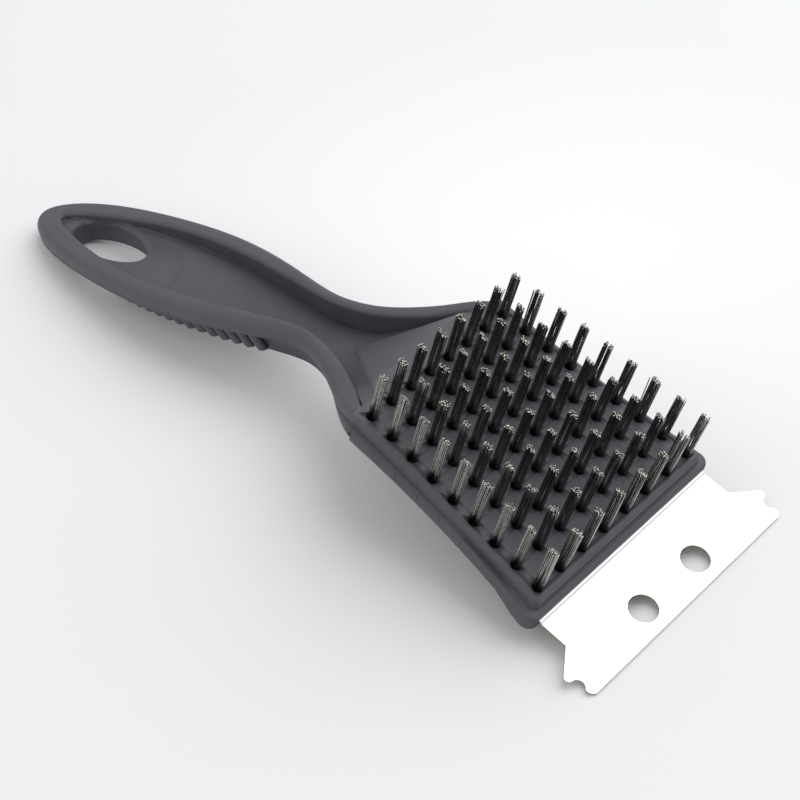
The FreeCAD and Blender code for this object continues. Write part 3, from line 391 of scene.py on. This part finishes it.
@dataclass(frozen=True)
class BristleWire:
    """Drawn steel wire: polished along its sides, duller at its cut ends."""

    name: str = "bristle_wire"
    colour: tuple[float, float, float] = (0.46, 0.445, 0.42)
    cut: tuple[float, float, float] = (0.5, 0.45, 0.4)
    cloud_scale: float = 1500.0
    cut_roughness: float = 0.3

    def make(self) -> bpy.types.Material:
        """Builds the material.

        Returns:
            The material.
        """
        shader = Shader(self.name)
        cloud = shader.noise(shader.place(), self.cloud_scale, 2.0)
        darker = tuple(value * 0.6 for value in self.colour)
        drawn = shader.ramp(cloud, [(0.35, darker), (0.65, self.colour)])
        ends = shader.tree.nodes.new("ShaderNodeAttribute")
        ends.attribute_name = "cut_end"
        shader.link(shader.blend(ends.outputs["Fac"], drawn, self.cut), shader.surface.inputs["Base Color"])
        shader.set("Metallic", 1.0)
        wear_and_edge_highlight = shader.span(cloud, 0.07, 0.16)
        dulled = shader.maths("MULTIPLY", ends.outputs["Fac"], self.cut_roughness)
        shader.link(shader.maths("ADD", wear_and_edge_highlight, dulled), shader.surface.inputs["Roughness"])
        return shader.material


@dataclass(frozen=True)
class PlatedSteel:
    """Plain zinc-plated steel for the screws and the hidden anchor wires."""

    name: str
    colour: tuple[float, float, float] = (0.6, 0.61, 0.63)
    cloud_scale: float = 400.0

    def make(self) -> bpy.types.Material:
        """Builds the material.

        Returns:
            The material.
        """
        shader = Shader(self.name)
        cloud = shader.noise(shader.place(), self.cloud_scale)
        darker = tuple(value * 0.8 for value in self.colour)
        plated = shader.ramp(cloud, [(0.3, darker), (0.7, self.colour)])
        shader.link(plated, shader.surface.inputs["Base Color"])
        shader.set("Metallic", 1.0)
        shader.link(shader.span(cloud, 0.3, 0.5), shader.surface.inputs["Roughness"])
        return shader.material


@dataclass(frozen=True)
class PaleTable:
    """The matt pale table top, with a painted pool of light that makes it a little brighter beyond the
    brush than around it.
    """

    name: str = "pale_table"
    colour: tuple[float, float, float] = (0.78, 0.79, 0.79)
    # Colour at the centre of the painted pool of light.
    painted_light_pool: tuple[float, float, float] = (0.87, 0.87, 0.87)
    # Centre of the painted pool of light, and the distances where it starts to fade and where it ends.
    middle: tuple[float, float] = (0.02, 0.07)
    start: float = 0.03
    reach: float = 0.16
    cloud_scale: float = 3.0

    def make(self) -> bpy.types.Material:
        """Builds the material.

        Returns:
            The material.
        """
        shader = Shader(self.name)
        place = shader.tree.nodes.new("ShaderNodeVectorMath")
        place.operation = "DISTANCE"
        place.inputs[1].default_value = (*self.middle, 0.0)
        shader.link(shader.place(), place.inputs[0])
        # Painted pool of light: the table colour brightens towards the centre point.
        light_pool_share = shader.span(place.outputs["Value"], 1.0, 0.0, self.start, self.reach)
        cloud = shader.noise(shader.place(), self.cloud_scale, 2.0)
        darker = tuple(value * 0.985 for value in self.colour)
        plain = shader.ramp(cloud, [(0.3, darker), (0.7, self.colour)])
        shader.link(shader.blend(light_pool_share, plain, self.painted_light_pool), shader.surface.inputs["Base Color"])
        shader.set("Roughness", 0.9)
        shader.set("Specular IOR Level", 0.1)
        return shader.material


# --------------------------------------------------------------------------------------
# Mesh helpers
# --------------------------------------------------------------------------------------

def finished(bm: bmesh.types.BMesh, name: str, material: bpy.types.Material) -> bpy.types.Object:
    """Turns a bmesh, with its faces' own shading, into an object at the origin and frees it.

    Args:
        bm: The mesh under construction.
        name: The object's name.
        material: Its material.

    Returns:
        The object.
    """
    mesh = bpy.data.meshes.new(name)
    bm.to_mesh(mesh)
    bm.free()
    mesh.materials.append(material)
    piece = bpy.data.objects.new(name, mesh)
    bpy.context.scene.collection.objects.link(piece)
    return piece


def dress(node: bpy.types.Object, material: bpy.types.Material) -> None:
    """Gives a solid of the frame one finish.

    Args:
        node: The solid's object.
        material: Its finish.
    """
    if not node.material_slots:
        node.data.materials.append(material)
    for place in node.material_slots:
        place.material = material


# --------------------------------------------------------------------------------------
# Moulded body
# --------------------------------------------------------------------------------------

@dataclass
class MouldedBody:
    """The one-piece plastic moulding, smooth over its rounds and crisp where walls meet."""

    node: bpy.types.Object
    crease: float = math.radians(28)
    weld: float = 1e-6

    def build(self) -> bpy.types.Object:
        """Dresses a clean copy of the solid.

        Returns:
            The finished body.
        """
        bm = bmesh.new()
        bm.from_mesh(self.node.data)
        bmesh.ops.remove_doubles(bm, verts=bm.verts, dist=self.weld)
        for face in bm.faces:
            face.smooth = True
        body = finished(bm, "moulded_body", MouldedPlastic().make())
        body.data.set_sharp_from_angle(angle=self.crease)
        weighted = body.modifiers.new("even_shading", "WEIGHTED_NORMAL")
        weighted.keep_sharp = True
        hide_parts("brush_body")
        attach(body, "root")
        return body


# --------------------------------------------------------------------------------------
# Tufts
# --------------------------------------------------------------------------------------

@dataclass
class TuftRow:
    """One row of folded tufts, each made of single wires in two bunched legs."""

    node: bpy.types.Object
    up: Vector
    seed: int
    material: bpy.types.Material
    height: float = 18.4 * MM
    wire_radius: float = 0.15 * MM
    sides: int = 6
    steps: int = 3
    slant: float = 0.8
    rings: tuple[tuple[float, int], ...] = ((0.0, 1), (0.46, 5), (0.98, 10))
    spacing: float = 2.0 * MM
    bury: float = 2.6 * MM
    splay: float = 1.28
    closing: float = 0.78
    stray_share: float = 0.035
    fray: float = 0.14 * MM
    uneven: float = 0.45 * MM
    jitter: float = 0.1
    lean: float = 0.12
    bow: float = 0.05

    def tufts(self) -> list[list[Vector]]:
        """Splits the solid's points into tufts across the row.

        Returns:
            The points of each tuft.
        """
        points = sorted((vertex.co.copy() for vertex in self.node.data.vertices), key=lambda point: point.y)
        groups: list[list[Vector]] = [[points[0]]]
        for point in points[1:]:
            if point.y - groups[-1][-1].y > self.spacing:
                groups.append([])
            groups[-1].append(point)
        return groups

    def bunch(self, dice: random.Random, radius: float) -> list[tuple[float, float]]:
        """Places of the wires in one leg, packed in rings.

        Args:
            dice: Seeded randomness.
            radius: The leg's radius.

        Returns:
            Offsets across the leg.
        """
        places = []
        for share, count in self.rings:
            phase = dice.uniform(0, math.tau)
            for index in range(count):
                turn = phase + math.tau * index / count + dice.uniform(-self.jitter, self.jitter)
                reach = (radius - self.wire_radius) * share * dice.uniform(0.95, 1.0)
                places.append((reach * math.cos(turn), reach * math.sin(turn)))
        return places

    def wire(self, bm: bmesh.types.BMesh, foot: Vector, tip: Vector, sway: Vector,
             dice: random.Random) -> None:
        """One wire: a six-sided tube with a slight bow and a slanted cut end.

        Args:
            bm: The row's mesh.
            foot: Where it starts inside its hole.
            tip: Its cut end.
            sway: How far it bows at the middle.
            dice: Seeded randomness.
        """
        cut = bm.faces.layers.float["cut_end"]
        along = (tip - foot).normalized()
        turn = along.to_track_quat("Z", "Y").to_matrix().to_4x4()
        made = bmesh.ops.create_circle(bm, cap_ends=False, segments=self.sides, radius=self.wire_radius,
                                       matrix=Matrix.Translation(foot) @ turn)
        ring = made["verts"]
        edges = list({edge for vertex in ring for edge in vertex.link_edges})
        previous = foot
        for step in range(1, self.steps + 1):
            share = step / self.steps
            centre = foot.lerp(tip, share) + sway * math.sin(math.pi * share * 0.8)
            extruded = bmesh.ops.extrude_edge_only(bm, edges=edges)["geom"]
            ring = [item for item in extruded if isinstance(item, bmesh.types.BMVert)]
            edges = [item for item in extruded if isinstance(item, bmesh.types.BMEdge)]
            bmesh.ops.translate(bm, verts=ring, vec=centre - previous)
            previous = centre
        axis = Vector((dice.uniform(-1, 1), dice.uniform(-1, 1), 0.2))
        slant = Matrix.Rotation(dice.uniform(-self.slant, self.slant), 3, axis)
        bmesh.ops.rotate(bm, verts=ring, cent=previous, matrix=slant)
        for face in bmesh.ops.contextual_create(bm, geom=edges)["faces"]:
            face[cut] = 1.0

    def build(self) -> bpy.types.Object:
        """Builds every tuft of the row.

        Returns:
            The finished row.
        """
        dice = random.Random(self.seed)
        bm = bmesh.new()
        bm.faces.layers.float.new("cut_end")
        along = Vector((self.up.z, 0, -self.up.x))
        for points in self.tufts():
            heights = [point.dot(self.up) for point in points]
            reaches = [point.dot(along) for point in points]
            centre_y = (min(p.y for p in points) + max(p.y for p in points)) / 2
            leg_radius = (max(p.y for p in points) - min(p.y for p in points)) / 2
            middle = (min(reaches) + max(reaches)) / 2
            offset = (max(reaches) - min(reaches)) / 2 - leg_radius
            level = max(heights) - self.height - self.bury
            foot = along * middle + Vector((0, centre_y, 0)) + self.up * level
            for side in (-1, 1):
                self.leg(bm, foot, along, side * offset, leg_radius, dice)
        bmesh.ops.recalc_face_normals(bm, faces=bm.faces)
        cut = bm.faces.layers.float["cut_end"]
        for face in bm.faces:
            face.smooth = face[cut] < 0.5
            for edge in face.edges:
                edge.smooth = edge.smooth and face.smooth
        row = finished(bm, self.node.name + "_wires", self.material)
        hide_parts(self.node.name)
        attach(row, "root")
        return row

    def leg(self, bm: bmesh.types.BMesh, foot: Vector, along: Vector, offset: float, radius: float,
            dice: random.Random) -> None:
        """The wires of one leg, which splay a little towards their cut ends.

        Args:
            bm: The row's mesh.
            foot: Middle of the tuft inside its hole.
            along: Direction in which the two legs stand apart.
            offset: Place of the leg along that direction.
            radius: The leg's radius.
            dice: Seeded randomness.
        """
        across = Vector((0, 1, 0))
        length = self.height + self.bury
        lean = along * dice.gauss(0, self.lean) * MM + across * dice.gauss(0, self.lean) * MM
        for right, forward in self.bunch(dice, radius):
            stray = dice.random() < self.stray_share
            splay = self.splay * (dice.uniform(1.3, 2.0) if stray else dice.uniform(0.9, 1.1))
            low = foot + along * (offset + right) + across * forward
            high = foot + along * (offset * self.closing + right * splay) + across * forward * splay + lean
            frayed = along * dice.gauss(0, self.fray) + across * dice.gauss(0, self.fray)
            tip = high + frayed + self.up * (length - abs(dice.gauss(0, self.uneven)))
            sway = along * dice.gauss(0, self.bow) * MM + across * dice.gauss(0, self.bow) * MM
            self.wire(bm, low, tip, sway, dice)


# --------------------------------------------------------------------------------------
# Scraper
# --------------------------------------------------------------------------------------

@dataclass
class Scraper:
    """The bent steel sheet, with its cut edges told apart from its rolled sides."""

    node: bpy.types.Object

    def build(self) -> bpy.types.Object:
        """Dresses the sheet.

        Returns:
            The sheet's object.
        """
        widest = max(self.node.data.polygons, key=lambda polygon: polygon.area)
        dress(self.node, SheetSteel(tuple(widest.normal)).make())
        return self.node


# --------------------------------------------------------------------------------------
# Camera, table and light
# --------------------------------------------------------------------------------------

@dataclass(frozen=True)
class Viewpoint:
    """The camera: what it looks at, from where, and through which lens."""

    aim: tuple[float, float, float] = (0.036146, -0.004597, 0.020)
    azimuth: float = 47.3648
    elevation: float = 42.3017
    distance: float = 0.532412
    roll: float = 6.3211
    lens: float = 85.02
    sensor: float = 36.0

    def build(self) -> bpy.types.Object:
        """Makes the camera and makes it the scene's own.

        Returns:
            The camera.
        """
        turn, rise = math.radians(self.azimuth), math.radians(self.elevation)
        back = Vector((math.sin(turn) * math.cos(rise), -math.cos(turn) * math.cos(rise), math.sin(rise)))
        data = bpy.data.cameras.new("camera")
        data.lens = self.lens
        data.sensor_width = self.sensor
        data.clip_start = 0.01
        camera = bpy.data.objects.new("camera", data)
        upright = (-back).to_track_quat("-Z", "Y").to_matrix()
        rolled = upright @ Matrix.Rotation(math.radians(-self.roll), 3, "Z")
        camera.matrix_world = Matrix.Translation(Vector(self.aim) + back * self.distance) @ rolled.to_4x4()
        bpy.context.scene.collection.objects.link(camera)
        bpy.context.scene.camera = camera
        return camera


@dataclass(frozen=True)
class Softbox:
    """A large soft lamp that looks at the brush."""

    name: str
    place: tuple[float, float, float]
    size: float
    power: float
    colour: tuple[float, float, float] = (1.0, 1.0, 1.0)

    def build(self, aim: Vector) -> bpy.types.Object:
        """Makes the lamp.

        Args:
            aim: What it looks at.

        Returns:
            The lamp.
        """
        data = bpy.data.lights.new(self.name, "AREA")
        data.shape = "DISK"
        data.size = self.size
        data.energy = self.power
        data.color = self.colour
        lamp = bpy.data.objects.new(self.name, data)
        lamp.location = Vector(self.place)
        lamp.rotation_mode = "QUATERNION"
        lamp.rotation_quaternion = (aim - lamp.location).to_track_quat("-Z", "Y")
        bpy.context.scene.collection.objects.link(lamp)
        return lamp


@dataclass
class Studio:
    """The pale table, the soft lamps and the plain white surroundings."""

    level: float
    world_level: float = 0.56
    world_colour: tuple[float, float, float] = (0.95, 0.97, 1.0)
    table_half: float = 4.0
    aim: tuple[float, float, float] = (0, 0, 0.02)
    lamps: tuple[Softbox, ...] = field(default_factory=lambda: (
        Softbox("key", (0.3, 0.75, 1.1), 2.0, 17.5, (0.99, 0.99, 1.0)),
        Softbox("fill", (-0.5, -0.9, 0.8), 1.3, 4.0, (1.0, 0.92, 0.85)),
    ))

    def build(self) -> None:
        """Makes the table, the lamps and the world."""
        bm = bmesh.new()
        bmesh.ops.create_grid(bm, x_segments=1, y_segments=1, size=self.table_half,
                              matrix=Matrix.Translation((0, 0, self.level)))
        table = finished(bm, "table_top", PaleTable().make())
        table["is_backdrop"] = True
        for lamp in self.lamps:
            lamp.build(Vector(self.aim))
        world = bpy.data.worlds.new("surroundings")
        world.use_nodes = True
        background = world.node_tree.nodes["Background"]
        background.inputs["Color"].default_value = (*self.world_colour, 1.0)
        background.inputs["Strength"].default_value = self.world_level
        bpy.context.scene.world = world
        bpy.context.scene.view_settings.view_transform = "Standard"


def main() -> None:
    """Builds the whole scene and logs the face count of the body and of each tuft row."""
    logging.basicConfig(level=logging.INFO, format="%(name)s: %(message)s")
    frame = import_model()
    solid_low, solid_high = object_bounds()
    nodes = frame["nodes"]
    mounts = {mount["name"]: mount for mount in frame["record"]["mounts"]}
    up = -Vector(mounts["head_back"]["axis"]).normalized()

    Viewpoint().build()
    Studio(level=solid_low.z).build()
    body = MouldedBody(nodes["brush_body"]).build()
    LOG.info("%s: %d faces", body.name, len(body.data.polygons))
    wire = BristleWire().make()
    for name in sorted(name for name in nodes if name.startswith("tuft_row_")):
        row = TuftRow(nodes[name], up, int(name.rsplit("_", 1)[1]), wire).build()
        LOG.info("%s: %d faces", row.name, len(row.data.polygons))
    Scraper(nodes["scraper_blade"]).build()
    dress(nodes["scraper_screws"], PlatedSteel("zinc_screw").make())
    anchor = PlatedSteel("anchor_flat_wire").make()
    for name in sorted(name for name in nodes if name.startswith("anchor_row_")):
        dress(nodes[name], anchor)


if __name__ == "__main__":
    main()
